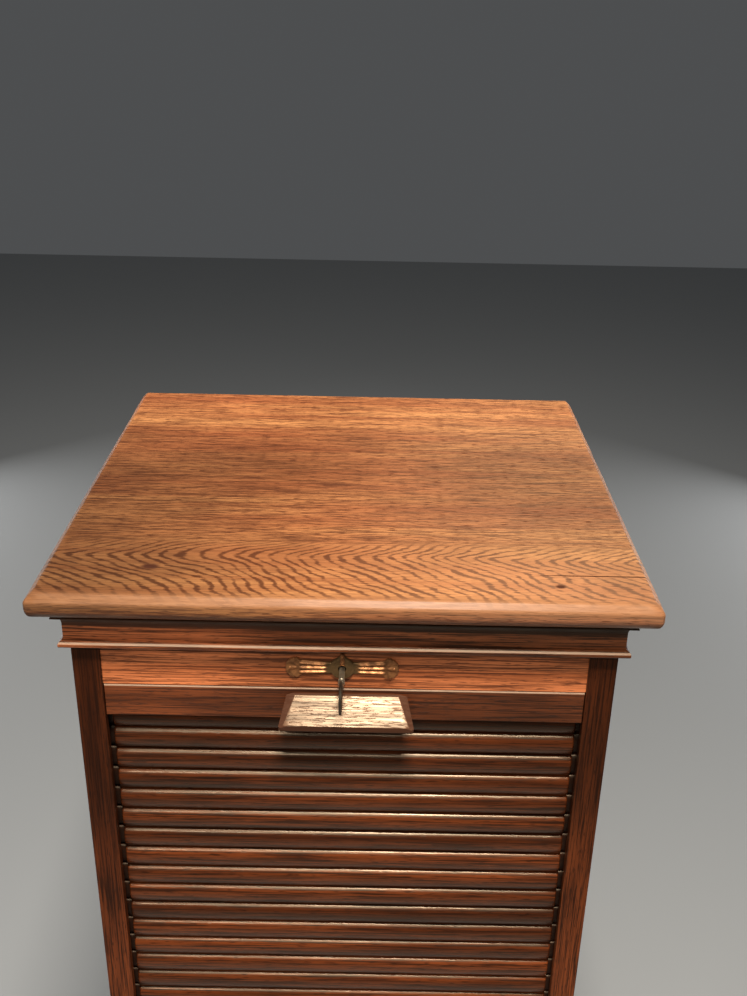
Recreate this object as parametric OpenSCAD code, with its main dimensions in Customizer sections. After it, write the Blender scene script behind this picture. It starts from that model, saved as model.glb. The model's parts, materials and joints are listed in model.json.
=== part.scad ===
// Tambour-front filing cabinet: a roller shutter of wooden slats drops down in grooves in the
// side boards, turns under the floor board and rises behind the inner back.
// Millimetres. +Z is up, the shutter faces -Y, and the origin is the centre of the base on the floor.

/* [Carcass] */
// Height from the floor to the top surface
cabinet_h = 1120; // [1060:10:1180]
// Width over the side boards
carcass_w = 448; // [430:2:500]
// Depth of the side boards
carcass_d = 450; // [430:5:480]
// Thickness of the side boards
side_t = 23; // [22:1:26]
// Height of the plinth
plinth_h = 85; // [82:1:95]
// How far the plinth stands out from the carcass
plinth_t = 12; // [10:1:15]

/* [Top and cornice] */
// Thickness of the top board
top_t = 22; // [22:1:26]
// Overhang of the top board at the front and sides
top_over = 26; // [22:1:32]
// Height of the cornice under the top board
cornice_h = 36; // [34:1:44]
// How far the cornice lip stands out from the carcass
cornice_lip = 8; // [6:0.5:10]

/* [Shutter] */
// Spacing of the slats
slat_pitch = 22.1; // [20:0.1:24]
// Thickness of a slat
slat_t = 8.8; // [8:0.1:9]
// Height of the fixed lock rail
lock_rail_h = 40; // [38:1:44]
// Height of the shutter's lead rail
lead_rail_h = 30; // [29:1:34]
// How far the two rails stand back from the carcass front
rail_recess = 2.5; // [2:0.5:3]

/* [Pull] */
// Width of the pull at its front
pull_w = 113; // [108:1:124]
// How far the pull stands out from the lead rail
pull_out = 22; // [21:1:24]
// Distance of the pull from the centre line
pull_x = 2; // [-10:1:10]

/* [Lock] */
// Distance of the lock from the centre line
lock_x = -2; // [-10:1:10]
// Length of the key outside the lock rail
key_out = 58; // [54:1:62]
// Height of the key's bow
key_bow_h = 27; // [24:1:30]

/* [Hidden] */
$fn = 64;

// A cut runs this far past the face that it opens
over = 1;
oak = "#8a5430";
oak_light = "#b5763f";
oak_dark = "#6b3d22";
brass = "#a8864a";
steel = "#8d8f90";

// Carcass
front_y = -(carcass_d + plinth_t) / 2 + plinth_t;
back_y = front_y + carcass_d;
half_w = carcass_w / 2;
open_half = half_w - side_t;
carcass_top = cabinet_h - top_t;
cornice_bottom = carcass_top - cornice_h;
housing = 6;
back_t = 8;
back_lap = 11;
inner_back_t = 6;
board_t = 18;
top_rail_t = 20;
base_t = 9;
floor_over_plinth = 3;
floor_z = plinth_h + floor_over_plinth;
floor_top = floor_z + board_t;
sub_top_z = carcass_top - board_t;

// Shutter grooves and their path
groove_w = 10;
groove_deep = 8;
groove_in = 13;
groove_y = front_y + groove_in;
turn_r = 40;
run_z = 22;
rear_gap = 11;
rear_y = back_y - back_t - rear_gap;
rear_run_h = 500;
rear_run_top = floor_top + rear_run_h;
groove_end = 0.8;
rear_wall = 5;
shelf_set_back = 16;
inner_back_y = rear_y - groove_w / 2 - rear_wall - inner_back_t;
shelf_front = groove_y + shelf_set_back;

// Rails
lock_rail_t = 20;
lead_rail_t = 18;
rail_gap = 1;
side_gap = 0.6;
tongue_t = 9;
tongue_out = 7;
rail_y = front_y + rail_recess;
lock_rail_z = cornice_bottom - lock_rail_h;
lead_top = lock_rail_z - rail_gap;
lead_bottom = lead_top - lead_rail_h;

// Slats and canvas
slat_groups = 14;
slat_gap = 0.8;
slat_front_r = 12.5;
slat_tongue = 6;
slat_tongue_t = 4;
slat_tongue_in = 1;
slat_shoulder = 2.5;
first_slat = 20;
seam_gap = 0.3;
curtain_top = lead_bottom - seam_gap;
bend_gap = 2;
well_z = run_z + turn_r + bend_gap;
slat_count = 1 + floor((curtain_top - first_slat - well_z) / slat_pitch);
curtain_bottom = curtain_top - first_slat - (slat_count - 1) * slat_pitch;
canvas_t = 0.8;
canvas_margin = 11;

// Shelves
shelf_count = 8;
shelf_t = 9;
shelf_gap = 1;
shelf_step = (cornice_bottom - floor_top) / (shelf_count + 1);
cleat_w = 10;
cleat_h = 12;

// Pull
pull_spread = 12;
pull_drop = 5;
pull_rise = 3;
pull_back_w = pull_w - pull_spread;
pull_top = lead_top - pull_drop;
pull_bottom = lead_bottom + pull_rise;
pull_fall = 16.5;
pull_lip_h = 9;
pull_under = 3;
pull_edge = 1.5;
pull_foot = 5;
scoop_r = 8;
scoop_end = 9;
scoop_drop = 1;
cheek_in = 6;
cheek_x = pull_back_w / 2 - cheek_in;
cheek_pitch = 36;
cheek_roll = 17;
pull_screw_x = 36;
pull_screw_drop = 11;
pull_screw_z = pull_top - pull_screw_drop;
pull_screw_r = 1.75;
pull_screw_in = 9;
drill_over = 0.5;

// Lock
lock_z = lock_rail_z + lock_rail_h / 2;
case_half = 33.7;
case_wall = 1.2;
case_h = 31.7;
case_y = rail_y + 5;
cover_y = rail_y + lock_rail_t;
cover_t = 1.5;
cover_half = 42;
cover_z0 = lock_rail_z + 1;
cover_h = 36;
cover_screw_x = 38;
cover_screw_inset = 4;
fit_gap = 0.05;
barrel_r = 7;
barrel_bore_r = 8.5;
case_gap = 0.2;
barrel_front = rail_y + 0.5;
cam_r = 9;
cam_y = rail_y + 12;
cam_t = 4;
tail_r = 3;
tail_gap = 0.4;
key_r = 2.8;
key_gap = 0.5;
key_tip = rail_y + 10.5;
bit_t = 2;
bit_reach = 5.6;
hook_x = 17;
hook_z = lead_top + 8;
hook_y = rail_y + 7.5;
hook_t = 3;
hook_in = 11;
hook_out = 14;
hook_low = 5;
hook_high = 80;
hook_arm = 15;
hub_r = 4;
pin_r = 2;
slot_y = hook_y - 0.5;
slot_w = hook_t + 1;
hook_clear = 0.6;
arm_lap = 0.5;
// Near and far ends of the hooks' slots in the case, the strike plate and the lead rail
case_slot = [7.8, 13.5];
strike_slot = [4.8, 12.2];
rail_slot = [-2, 13];

// Strike and its screws
strike_t = 1.6;
strike_half = 38;
strike_w = 12;
strike_y = rail_y + 3;
strike_screw_x = 33.5;
small_r = 1.5;
small_head = 3;
screw_head_t = 1.4;

// Escutcheon
plate_t = 1.6;
plate_half = 47;
plate_arm_h = 14;
plate_end_r = 7;
boss_r = 10.5;
boss_t = 1;
boss_step = 1.5;
plate_gap = 0.6;
finial_r = 3.2;
rib_h = 1.8;
rib_gap = 4.6;
rib_t = 0.7;
rib_x = 25;
rib_len = 24;
pin_x = 43;
lobe_x = 39.5;
lobe_z = 5.2;
lobe_r = 5;

// Carries a (Y, Z) profile along X, from x0 for len
module along_x(x0, len) {
    translate([x0, 0, 0]) rotate([90, 0, 90]) linear_extrude(len) children();
}
// Carries an (X, Z) profile along Y, from y0 for len
module along_y(y0, len) {
    translate([0, y0 + len, 0]) rotate([90, 0, 0]) linear_extrude(len) children();
}
// A box from one corner to the opposite one
module block(low, high) {
    translate(low) cube(high - low);
}
// A round bar along +Y
module bar_y(x, y, z, r, len) {
    translate([x, y, z]) rotate([-90, 0, 0]) cylinder(r = r, h = len);
}
module both_sides() {
    children();
    mirror([1, 0, 0]) children();
}

// ---------------------------------------------------------------- top board
nose_top = 11;
nose_bottom = 8;
module nosing_outline(len) {
    translate([nose_top, 0]) square([len - nose_top, top_t]);
    translate([nose_bottom, 0]) square([nose_top, top_t - nose_top]);
    translate([0, nose_bottom]) square([nose_top, top_t - nose_top - nose_bottom]);
    translate([nose_top, top_t - nose_top]) circle(nose_top);
    translate([nose_bottom, nose_bottom]) circle(nose_bottom);
}
top_screw_r = 2;
top_screw_in = 14;
top_screw_x = open_half - 40;
top_screw_y = [front_y + 70, back_y - 60];
module at_top_screws() {
    for (x = [-top_screw_x, top_screw_x], y = top_screw_y) translate([x, y, sub_top_z]) children();
}
module top_board() {
    color(oak_light) difference() {
        intersection() {
            along_x(-half_w - top_over, carcass_w + 2 * top_over)
                translate([front_y - top_over, carcass_top]) nosing_outline(carcass_d + top_over);
            along_y(front_y - top_over, carcass_d + top_over) both_sides()
                translate([-half_w - top_over, carcass_top]) nosing_outline(half_w + top_over);
        }
        at_top_screws() cylinder(r = top_screw_r + fit_gap, h = board_t + top_screw_in + over);
    }
}
module countersunk(r, head, len) {
    cylinder(r = r, h = len);
    cylinder(r1 = head, r2 = r, h = head - r);
}
module top_screws() {
    color(steel) at_top_screws() countersunk(top_screw_r, 2 * top_screw_r, board_t + top_screw_in);
}

// ---------------------------------------------------------------- mitred mouldings
// Plan of the front length, mitred at both corners, and of the right-hand length
module front_plan(out) {
    polygon([[-half_w, front_y], [half_w, front_y],
             [half_w + out, front_y - out], [-half_w - out, front_y - out]]);
}
module side_plan(out) {
    polygon([[half_w, front_y], [half_w + out, front_y - out], [half_w + out, back_y], [half_w, back_y]]);
}
module front_moulding(z0, h, out) {
    intersection() {
        along_x(-half_w - out, carcass_w + 2 * out)
            translate([front_y, z0]) mirror([1, 0]) children();
        translate([0, 0, z0]) linear_extrude(h) front_plan(out);
    }
}
module right_moulding(z0, h, out) {
    intersection() {
        along_y(front_y - out, carcass_d + out) translate([half_w, z0]) children();
        translate([0, 0, z0]) linear_extrude(h) side_plan(out);
    }
}
// Cornice section: x is out from the carcass, y is up from its lower edge
frieze_out = 4;
bed_out = 11;
cove_r = bed_out - frieze_out;
bed_h = 7;
lip_h = 5.5;
lip_edge = 1.5;
module cornice_outline() {
    square([frieze_out, cornice_h]);
    translate([0, cornice_h - bed_h]) square([bed_out, bed_h]);
    difference() {
        translate([0, cornice_h - bed_h - cove_r]) square([bed_out, cove_r]);
        translate([bed_out, cornice_h - bed_h - cove_r]) circle(cove_r);
    }
    polygon([[0, 0], [cornice_lip - lip_edge, 0], [cornice_lip, lip_edge],
             [cornice_lip, lip_h - lip_edge], [cornice_lip - lip_edge, lip_h], [0, lip_h]]);
}
module cornice_front() {
    color(oak_dark) front_moulding(cornice_bottom, cornice_h, bed_out) cornice_outline();
}
module cornice_right() {
    color(oak_dark) right_moulding(cornice_bottom, cornice_h, bed_out) cornice_outline();
}
module cornice_left() {
    mirror([1, 0, 0]) cornice_right();
}
ovolo_r = 8;
module plinth_outline() {
    square([plinth_t, plinth_h - ovolo_r]);
    square([plinth_t - ovolo_r, plinth_h]);
    translate([plinth_t - ovolo_r, plinth_h - ovolo_r]) circle(ovolo_r);
}
module plinth_front() {
    color(oak) front_moulding(0, plinth_h, plinth_t) plinth_outline();
}
module plinth_right() {
    color(oak) right_moulding(0, plinth_h, plinth_t) plinth_outline();
}
module plinth_left() {
    mirror([1, 0, 0]) plinth_right();
}

// ---------------------------------------------------------------- carcass
// Path of the shutter groove in the (Y, Z) plane: down the front, under the floor, up the back
module groove_turn(y, quarter) {
    translate([y, run_z + turn_r]) intersection() {
        difference() {
            circle(turn_r + groove_w / 2);
            circle(turn_r - groove_w / 2);
        }
        translate([quarter * (turn_r + groove_w) / 2, -(turn_r + groove_w) / 2])
            square(turn_r + groove_w, center = true);
    }
}
module groove_outline() {
    half = groove_w / 2;
    bend_z = run_z + turn_r;
    translate([groove_y - half, bend_z]) square([groove_w, lead_top + groove_end - bend_z]);
    translate([rear_y - half, bend_z]) square([groove_w, rear_run_top - bend_z]);
    translate([groove_y + turn_r, run_z - half]) square([rear_y - groove_y - 2 * turn_r, groove_w]);
    groove_turn(groove_y + turn_r, -1);
    groove_turn(rear_y - turn_r, 1);
}
module side_right() {
    color(oak) difference() {
        block([open_half, front_y, 0], [half_w, back_y, carcass_top]);
        along_x(open_half - over, groove_deep + over) groove_outline();
        block([open_half - over, shelf_front, floor_z], [open_half + housing, inner_back_y, floor_top]);
        block([open_half - over, front_y + top_rail_t, sub_top_z],
              [open_half + housing, back_y - back_t, carcass_top + over]);
        block([open_half - over, back_y - back_t, -over], [open_half + back_lap, back_y + over,
              carcass_top + over]);
    }
}
module side_left() {
    mirror([1, 0, 0]) side_right();
}
module top_rail() {
    color(oak) block([-open_half, front_y, cornice_bottom], [open_half, front_y + top_rail_t, carcass_top]);
}
module sub_top() {
    color(oak_dark) difference() {
        block([-open_half - housing, front_y + top_rail_t, sub_top_z],
              [open_half + housing, back_y - back_t, carcass_top]);
        at_top_screws() countersunk(top_screw_r + fit_gap, 2 * top_screw_r + fit_gap, board_t + over);
    }
}
module back_panel() {
    color(oak_dark) block([-open_half - back_lap, back_y - back_t, 0],
                          [open_half + back_lap, back_y, carcass_top]);
}
back_pin_r = 0.8;
back_pin_len = 18;
back_pin_count = 8;
back_pin_margin = 60;
module back_pins() {
    step = (carcass_top - 2 * back_pin_margin) / (back_pin_count - 1);
    color(steel) for (x = [-1, 1], i = [0 : back_pin_count - 1])
        bar_y(x * (open_half + back_lap / 2), back_y - back_pin_len, back_pin_margin + i * step,
              back_pin_r, back_pin_len);
}
module inner_back() {
    color(oak_dark) block([-open_half, inner_back_y, floor_z], [open_half, inner_back_y + inner_back_t,
                          sub_top_z]);
}
module floor_board() {
    color(oak) block([-open_half - housing, shelf_front, floor_z], [open_half + housing, inner_back_y,
                     floor_top]);
}
module base_board() {
    color(oak_dark) block([-open_half, front_y, 0], [open_half, back_y - back_t, base_t]);
}

// ---------------------------------------------------------------- shelves
function shelf_z(i) = floor_top + i * shelf_step - shelf_t;
module shelf(i) {
    color(oak) block([-open_half + shelf_gap, shelf_front, shelf_z(i)],
                     [open_half - shelf_gap, inner_back_y, shelf_z(i) + shelf_t]);
}
module shelf_cleats_right() {
    color(oak_dark) for (i = [1 : shelf_count])
        block([open_half - cleat_w, shelf_front + shelf_t, shelf_z(i) - cleat_h],
              [open_half, inner_back_y - shelf_t, shelf_z(i)]);
}
module shelf_cleats_left() {
    mirror([1, 0, 0]) shelf_cleats_right();
}

// ---------------------------------------------------------------- lock rail and lock
// A keyhole outline: x is across, y is up, with its slot hanging down
module keyhole(r, half, reach) {
    circle(r);
    translate([-half, -reach]) square([2 * half, reach]);
}
module at_cover_screws() {
    for (x = [-cover_screw_x, cover_screw_x], z = [cover_screw_inset, cover_h - cover_screw_inset])
        translate([lock_x + x, cover_y + cover_t, cover_z0 + z]) rotate([90, 0, 0]) children();
}
cover_screw_len = 12;
module lock_rail() {
    color(oak) difference() {
        block([-open_half, rail_y, lock_rail_z], [open_half, cover_y, cornice_bottom]);
        block([lock_x - case_half - case_gap, case_y, lock_rail_z - over],
              [lock_x + case_half + case_gap, cover_y + over, lock_rail_z + case_h + case_gap]);
        bar_y(lock_x, rail_y - over, lock_z, barrel_bore_r, lock_rail_t);
        at_cover_screws() cylinder(r = small_r + fit_gap, h = cover_screw_len + over);
    }
}
// Bottom slots that the hooks swing through, cut over a band of heights
module hook_slots(ends, z0, z1) {
    for (s = [-1, 1]) translate([lock_x + s * hook_x, 0, 0]) scale([s, 1, 1])
        block([ends[0], slot_y, z0], [ends[1], slot_y + slot_w, z1]);
}
module lock_case() {
    color(steel) difference() {
        block([lock_x - case_half, case_y, lock_rail_z], [lock_x + case_half, cover_y,
              lock_rail_z + case_h]);
        block([lock_x - case_half + case_wall, case_y + case_wall, lock_rail_z + case_wall],
              [lock_x + case_half - case_wall, cover_y + over, lock_rail_z + case_h - case_wall]);
        bar_y(lock_x, case_y - over, lock_z, barrel_r + fit_gap, case_wall + 2 * over);
        hook_slots(case_slot, lock_rail_z - over, lock_rail_z + case_wall + over);
    }
}
module lock_cover() {
    color(steel) difference() {
        block([lock_x - cover_half, cover_y, cover_z0], [lock_x + cover_half, cover_y + cover_t,
              cover_z0 + cover_h]);
        bar_y(lock_x, cover_y - over, lock_z, tail_r + fit_gap, cover_t + 2 * over);
        at_cover_screws() cylinder(r = small_r + fit_gap, h = cover_t + over);
    }
}
module lock_screws() {
    color(steel) at_cover_screws() {
        cylinder(r = small_r, h = cover_screw_len);
        translate([0, 0, -screw_head_t]) cylinder(r = small_head, h = screw_head_t);
    }
}
module lock_barrel() {
    color(brass) difference() {
        union() {
            bar_y(lock_x, barrel_front, lock_z, barrel_r, cam_y - barrel_front);
            bar_y(lock_x, cam_y, lock_z, cam_r, cam_t);
            bar_y(lock_x, cam_y, lock_z, tail_r, cover_y + cover_t - tail_gap - cam_y);
        }
        along_y(barrel_front - over, key_tip + key_gap - barrel_front + over)
            translate([lock_x, lock_z]) keyhole(key_r + key_gap, bit_t / 2 + key_gap, bit_reach + key_gap);
    }
}
// A curved hook about the origin in the (X, Z) plane, drawn for the right-hand side
module hook_outline() {
    far = 3 * hook_out;
    circle(hub_r);
    intersection() {
        difference() {
            circle(hook_out);
            circle(hook_in);
        }
        polygon([[0, 0], far * [cos(hook_low), sin(hook_low)], [far, far],
                 far * [cos(hook_high), sin(hook_high)]]);
    }
    intersection() {
        circle(hook_in + arm_lap);
        polygon([[0, 0], far * [cos(hook_high - hook_arm), sin(hook_high - hook_arm)],
                 far * [cos(hook_high), sin(hook_high)]]);
    }
}
module hook_right() {
    color(steel) translate([lock_x + hook_x, 0, hook_z]) difference() {
        along_y(hook_y, hook_t) hook_outline();
        bar_y(0, hook_y - over, 0, pin_r + fit_gap, hook_t + 2 * over);
    }
}
module hook_left() {
    translate([2 * lock_x, 0, 0]) mirror([1, 0, 0]) hook_right();
}
collar_r = 3.4;
collar_gap = 0.4;
module hook_pivots() {
    pin_y = case_y + case_wall;
    collar_y = hook_y + hook_t + collar_gap;
    color(steel) for (s = [-1, 1]) {
        bar_y(lock_x + s * hook_x, pin_y, hook_z, pin_r, cover_y - pin_y);
        bar_y(lock_x + s * hook_x, collar_y, hook_z, collar_r, cover_y - collar_y);
    }
}

// ---------------------------------------------------------------- escutcheon and key
module plate_outline() {
    difference() {
        union() {
            circle(boss_r);
            translate([0, boss_r]) circle(finial_r);
            square([2 * plate_half - 2 * plate_end_r, plate_arm_h], center = true);
            for (s = [-1, 1]) {
                translate([s * (plate_half - plate_end_r), 0]) circle(plate_end_r);
                for (z = [-1, 1]) translate([s * lobe_x, z * lobe_z]) circle(lobe_r);
            }
        }
        keyhole(key_r + plate_gap, bit_t / 2 + plate_gap, bit_reach + plate_gap);
        for (x = [-pin_x, pin_x]) translate([x, 0]) circle(plate_pin_r + fit_gap);
    }
}
plate_pin_r = 0.7;
plate_pin_len = 8;
plate_pin_head = 1.5;
pin_head_t = 0.8;
module escutcheon() {
    color(brass) translate([lock_x, 0, lock_z]) {
        along_y(rail_y - plate_t, plate_t) plate_outline();
        along_y(rail_y - plate_t - boss_t, boss_t) difference() {
            circle(boss_r - boss_step);
            keyhole(key_r + plate_gap, bit_t / 2 + plate_gap, bit_reach + plate_gap);
        }
        for (s = [-1, 1], i = [-1 : 1]) translate([s * rib_x, 0, i * rib_gap])
            translate([-rib_len / 2, rail_y - plate_t - rib_t, -rib_h / 2]) cube([rib_len, rib_t, rib_h]);
    }
}
module escutcheon_pins() {
    color(brass) for (x = [-pin_x, pin_x]) {
        bar_y(lock_x + x, rail_y - plate_t, lock_z, plate_pin_r, plate_pin_len);
        bar_y(lock_x + x, rail_y - plate_t - pin_head_t, lock_z, plate_pin_head, pin_head_t);
    }
}
shank_out = 21;
neck_out = 29;
key_collar_r = 4.6;
key_collar_t = 3;
bow_wall = 4;
bow_t = 4;
bow_cut = 1;
neck_r = 2.5;
bit_start = 8;
bit_end = 1;
module bow_outline() {
    len = key_out - neck_out + over;
    r = len / 2;
    centre = rail_y - key_out + r;
    difference() {
        oval(centre, r, key_bow_h / 2);
        oval(centre, r - bow_wall, key_bow_h / 2 - bow_wall);
    }
}
// An oval from two crossing arcs of a wide circle, so that its edge stays truly round
module oval(centre, a, b) {
    wide = (a * a + b * b) / (2 * b);
    translate([centre, 0]) intersection() {
        translate([0, b - wide]) circle(wide, $fn = 128);
        translate([0, wide - b]) circle(wide, $fn = 128);
        square([2 * (a - bow_cut), 2 * b], center = true);
    }
}
module key() {
    color(steel) translate([lock_x, 0, lock_z]) {
        bar_y(0, rail_y - neck_out, 0, neck_r, neck_out);
        bar_y(0, rail_y - shank_out, 0, key_r, shank_out + key_tip - rail_y);
        bar_y(0, rail_y - shank_out - key_collar_t, 0, key_collar_r, key_collar_t);
        along_x(-bow_t / 2, bow_t) bow_outline();
        block([-bit_t / 2, key_tip - bit_start, -bit_reach], [bit_t / 2, key_tip - bit_end, 0]);
    }
}

// ---------------------------------------------------------------- lead rail
module at_strike_screws() {
    for (x = [-strike_screw_x, strike_screw_x])
        translate([lock_x + x, strike_y + strike_w / 2, lead_top]) mirror([0, 0, 1]) children();
}
module at_pull_screws() {
    for (x = [-pull_screw_x, pull_screw_x])
        translate([pull_x + x, rail_y + lead_rail_t, pull_screw_z]) rotate([90, 0, 0]) children();
}
strike_screw_len = 9;
module lead_rail() {
    reach = open_half - side_gap;
    color(oak_dark) difference() {
        union() {
            block([-reach, rail_y, lead_bottom], [reach, rail_y + lead_rail_t, lead_top]);
            block([-reach - tongue_out, groove_y - tongue_t / 2, lead_bottom],
                  [reach + tongue_out, groove_y + tongue_t / 2, lead_top]);
        }
        block([lock_x - strike_half, strike_y, lead_top - strike_t],
              [lock_x + strike_half, strike_y + strike_w, lead_top + over]);
        hook_slots(rail_slot, hook_z - hook_out - hook_clear, lead_top);
        at_strike_screws() cylinder(r = small_r + fit_gap, h = strike_screw_len + over);
        at_pull_screws() countersunk(pull_screw_r + fit_gap, 2 * pull_screw_r + fit_gap,
                                     lead_rail_t + over);
    }
}
module strike_plate() {
    color(brass) difference() {
        block([lock_x - strike_half, strike_y, lead_top - strike_t],
              [lock_x + strike_half, strike_y + strike_w, lead_top]);
        hook_slots(strike_slot, lead_top - strike_t - over, lead_top + over);
        at_strike_screws() countersunk(small_r + fit_gap, small_head + fit_gap, strike_t + over);
    }
}
module strike_screws() {
    color(brass) at_strike_screws() countersunk(small_r, small_head, strike_screw_len);
}

// ---------------------------------------------------------------- pull
// Section of the pull: x is out from the lead rail, y is height
module pull_section() {
    lip_top = pull_top - pull_fall;
    lip_bottom = lip_top - pull_lip_h;
    polygon([[0, pull_top], [pull_out - pull_edge, lip_top], [pull_out, lip_top - pull_edge],
             [pull_out, lip_bottom + pull_under], [pull_out - pull_under, lip_bottom],
             [pull_foot, pull_bottom], [0, pull_bottom]]);
}
module pull_block() {
    intersection() {
        along_x(-pull_w / 2, pull_w) translate([rail_y, 0]) mirror([1, 0]) pull_section();
        translate([0, 0, pull_bottom - pull_lip_h]) linear_extrude(lead_rail_h + pull_lip_h)
            polygon([[-pull_back_w / 2, rail_y], [pull_back_w / 2, rail_y],
                     [pull_w / 2, rail_y - pull_out], [-pull_w / 2, rail_y - pull_out]]);
    }
}
module pull_handle() {
    color(oak) translate([pull_x, 0, 0]) difference() {
        pull_block();
        along_x(-pull_back_w / 2 + scoop_end, pull_back_w - 2 * scoop_end)
            translate([rail_y - pull_out / 2, pull_bottom - scoop_drop]) circle(scoop_r);
        both_sides() translate([cheek_x, rail_y, pull_top]) rotate([cheek_pitch, cheek_roll, 0])
            translate([-pull_w, -pull_w / 2, 0]) cube([2 * pull_w, pull_w, pull_w / 2]);
        translate([-pull_x, 0, 0]) at_pull_screws()
            cylinder(r = pull_screw_r + fit_gap, h = lead_rail_t + pull_screw_in + drill_over);
    }
}
module pull_screws() {
    color(steel) at_pull_screws()
        countersunk(pull_screw_r, 2 * pull_screw_r, lead_rail_t + pull_screw_in);
}

// ---------------------------------------------------------------- slats and canvas
function slat_top(k) = k == 0 ? curtain_top : curtain_top - first_slat - (k - 1) * slat_pitch;
function slat_h(k) = (k == 0 ? first_slat : slat_pitch) - slat_gap;
slat_back = groove_y + slat_t / 2;
// Half-round section: flat back, rounded front
module slat_section(k) {
    mid = slat_top(k) - slat_h(k) / 2;
    intersection() {
        translate([slat_back - slat_t, mid - slat_h(k) / 2]) square([slat_t, slat_h(k)]);
        translate([slat_back - slat_t + slat_front_r, mid]) circle(slat_front_r);
    }
}
// The thin ends that run in the grooves
module slat_tongue_section(k) {
    translate([slat_back - slat_tongue_t, slat_top(k) - slat_h(k) + slat_tongue_in])
        square([slat_tongue_t, slat_h(k) - 2 * slat_tongue_in]);
}
module slat_group(g) {
    face = open_half - slat_shoulder;
    reach = open_half + slat_tongue;
    color(g % 2 == 0 ? oak : oak_dark)
        for (k = [0 : slat_count - 1]) if (floor(k * slat_groups / slat_count) == g) {
            along_x(-face, 2 * face) slat_section(k);
            along_x(-reach, 2 * reach) slat_tongue_section(k);
        }
}
module canvas() {
    half = open_half - canvas_margin;
    color("#b9ab8c") block([-half, slat_back, curtain_bottom + slat_gap], [half, slat_back + canvas_t, curtain_top]);
}

top_board();
top_screws();
cornice_front();
cornice_left();
cornice_right();
side_left();
side_right();
top_rail();
sub_top();
back_panel();
back_pins();
inner_back();
floor_board();
base_board();
plinth_front();
plinth_left();
plinth_right();
shelf(1);  // shelf_1
shelf(2);  // shelf_2
shelf(3);  // shelf_3
shelf(4);  // shelf_4
shelf(5);  // shelf_5
shelf(6);  // shelf_6
shelf(7);  // shelf_7
shelf(8);  // shelf_8
shelf_cleats_left();
shelf_cleats_right();
lock_rail();
lock_case();
lock_cover();
lock_screws();
lock_barrel();
hook_left();
hook_right();
hook_pivots();
escutcheon();
escutcheon_pins();
key();
lead_rail();
strike_plate();
strike_screws();
pull_handle();
pull_screws();
canvas();
slat_group(0);  // slats_01
slat_group(1);  // slats_02
slat_group(2);  // slats_03
slat_group(3);  // slats_04
slat_group(4);  // slats_05
slat_group(5);  // slats_06
slat_group(6);  // slats_07
slat_group(7);  // slats_08
slat_group(8);  // slats_09
slat_group(9);  // slats_10
slat_group(10);  // slats_11
slat_group(11);  // slats_12
slat_group(12);  // slats_13
slat_group(13);  // slats_14
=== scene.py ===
"""The looks of the tambour-front filing cabinet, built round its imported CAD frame.

Metres, +Z up, the shutter faces -Y. Sizes come from the frame's own boxes, and each piece and each
material has its own function.
"""

import json
import math

import bmesh
import bpy
from mathutils import Matrix, Vector, noise


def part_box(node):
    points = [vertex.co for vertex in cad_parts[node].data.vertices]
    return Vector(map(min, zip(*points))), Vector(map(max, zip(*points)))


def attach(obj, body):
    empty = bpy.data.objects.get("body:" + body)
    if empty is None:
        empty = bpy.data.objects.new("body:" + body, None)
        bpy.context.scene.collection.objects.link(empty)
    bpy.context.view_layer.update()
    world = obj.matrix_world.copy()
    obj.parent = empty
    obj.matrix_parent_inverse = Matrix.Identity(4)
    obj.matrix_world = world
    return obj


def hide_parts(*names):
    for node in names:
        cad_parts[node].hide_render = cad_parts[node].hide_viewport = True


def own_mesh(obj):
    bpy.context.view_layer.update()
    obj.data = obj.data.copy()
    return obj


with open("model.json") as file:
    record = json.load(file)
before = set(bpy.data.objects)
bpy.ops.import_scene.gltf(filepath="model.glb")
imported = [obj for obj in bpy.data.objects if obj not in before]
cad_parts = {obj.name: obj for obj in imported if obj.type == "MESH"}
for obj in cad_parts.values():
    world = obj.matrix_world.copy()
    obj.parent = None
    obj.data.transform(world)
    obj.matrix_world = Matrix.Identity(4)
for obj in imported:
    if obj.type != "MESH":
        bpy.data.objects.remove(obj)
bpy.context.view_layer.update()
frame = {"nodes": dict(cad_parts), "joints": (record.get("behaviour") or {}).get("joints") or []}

# ---------------------------------------------------------------- places taken from the frame
top_low, top_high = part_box("top_board")
side_low, side_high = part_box("side_right")
rail_low, rail_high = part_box("lead_rail")
lock_low, lock_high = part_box("lock_rail")
plate_low, plate_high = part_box("escutcheon")
cornice_low, cornice_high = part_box("cornice_front")
pull_low, pull_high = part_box("pull_handle")
canvas_low, canvas_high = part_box("canvas")
key_low, key_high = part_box("key")

HALF_W = side_high.x
OPEN_HALF = side_low.x
FRONT = side_low.y
BACK = side_high.y
TOP = top_high.z
PLINTH_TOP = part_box("plinth_front")[1].z
LOCK_X = (plate_low.x + plate_high.x) / 2
LOCK_Z = (lock_low.z + lock_high.z) / 2
RAIL_Y = rail_low.y
PULL_MIDDLE = (pull_low.x + pull_high.x) / 2

# ---------------------------------------------------------------- camera
LENS_MM = 39.57
CAMERA_X = 0.0189
CAMERA_BEFORE_TOP = 0.7338
CAMERA_OVER_TOP = 0.4275
CAMERA_YAW = math.radians(0.15)
CAMERA_PITCH = math.radians(24.72)
CAMERA_ROLL = math.radians(1.18)


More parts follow.
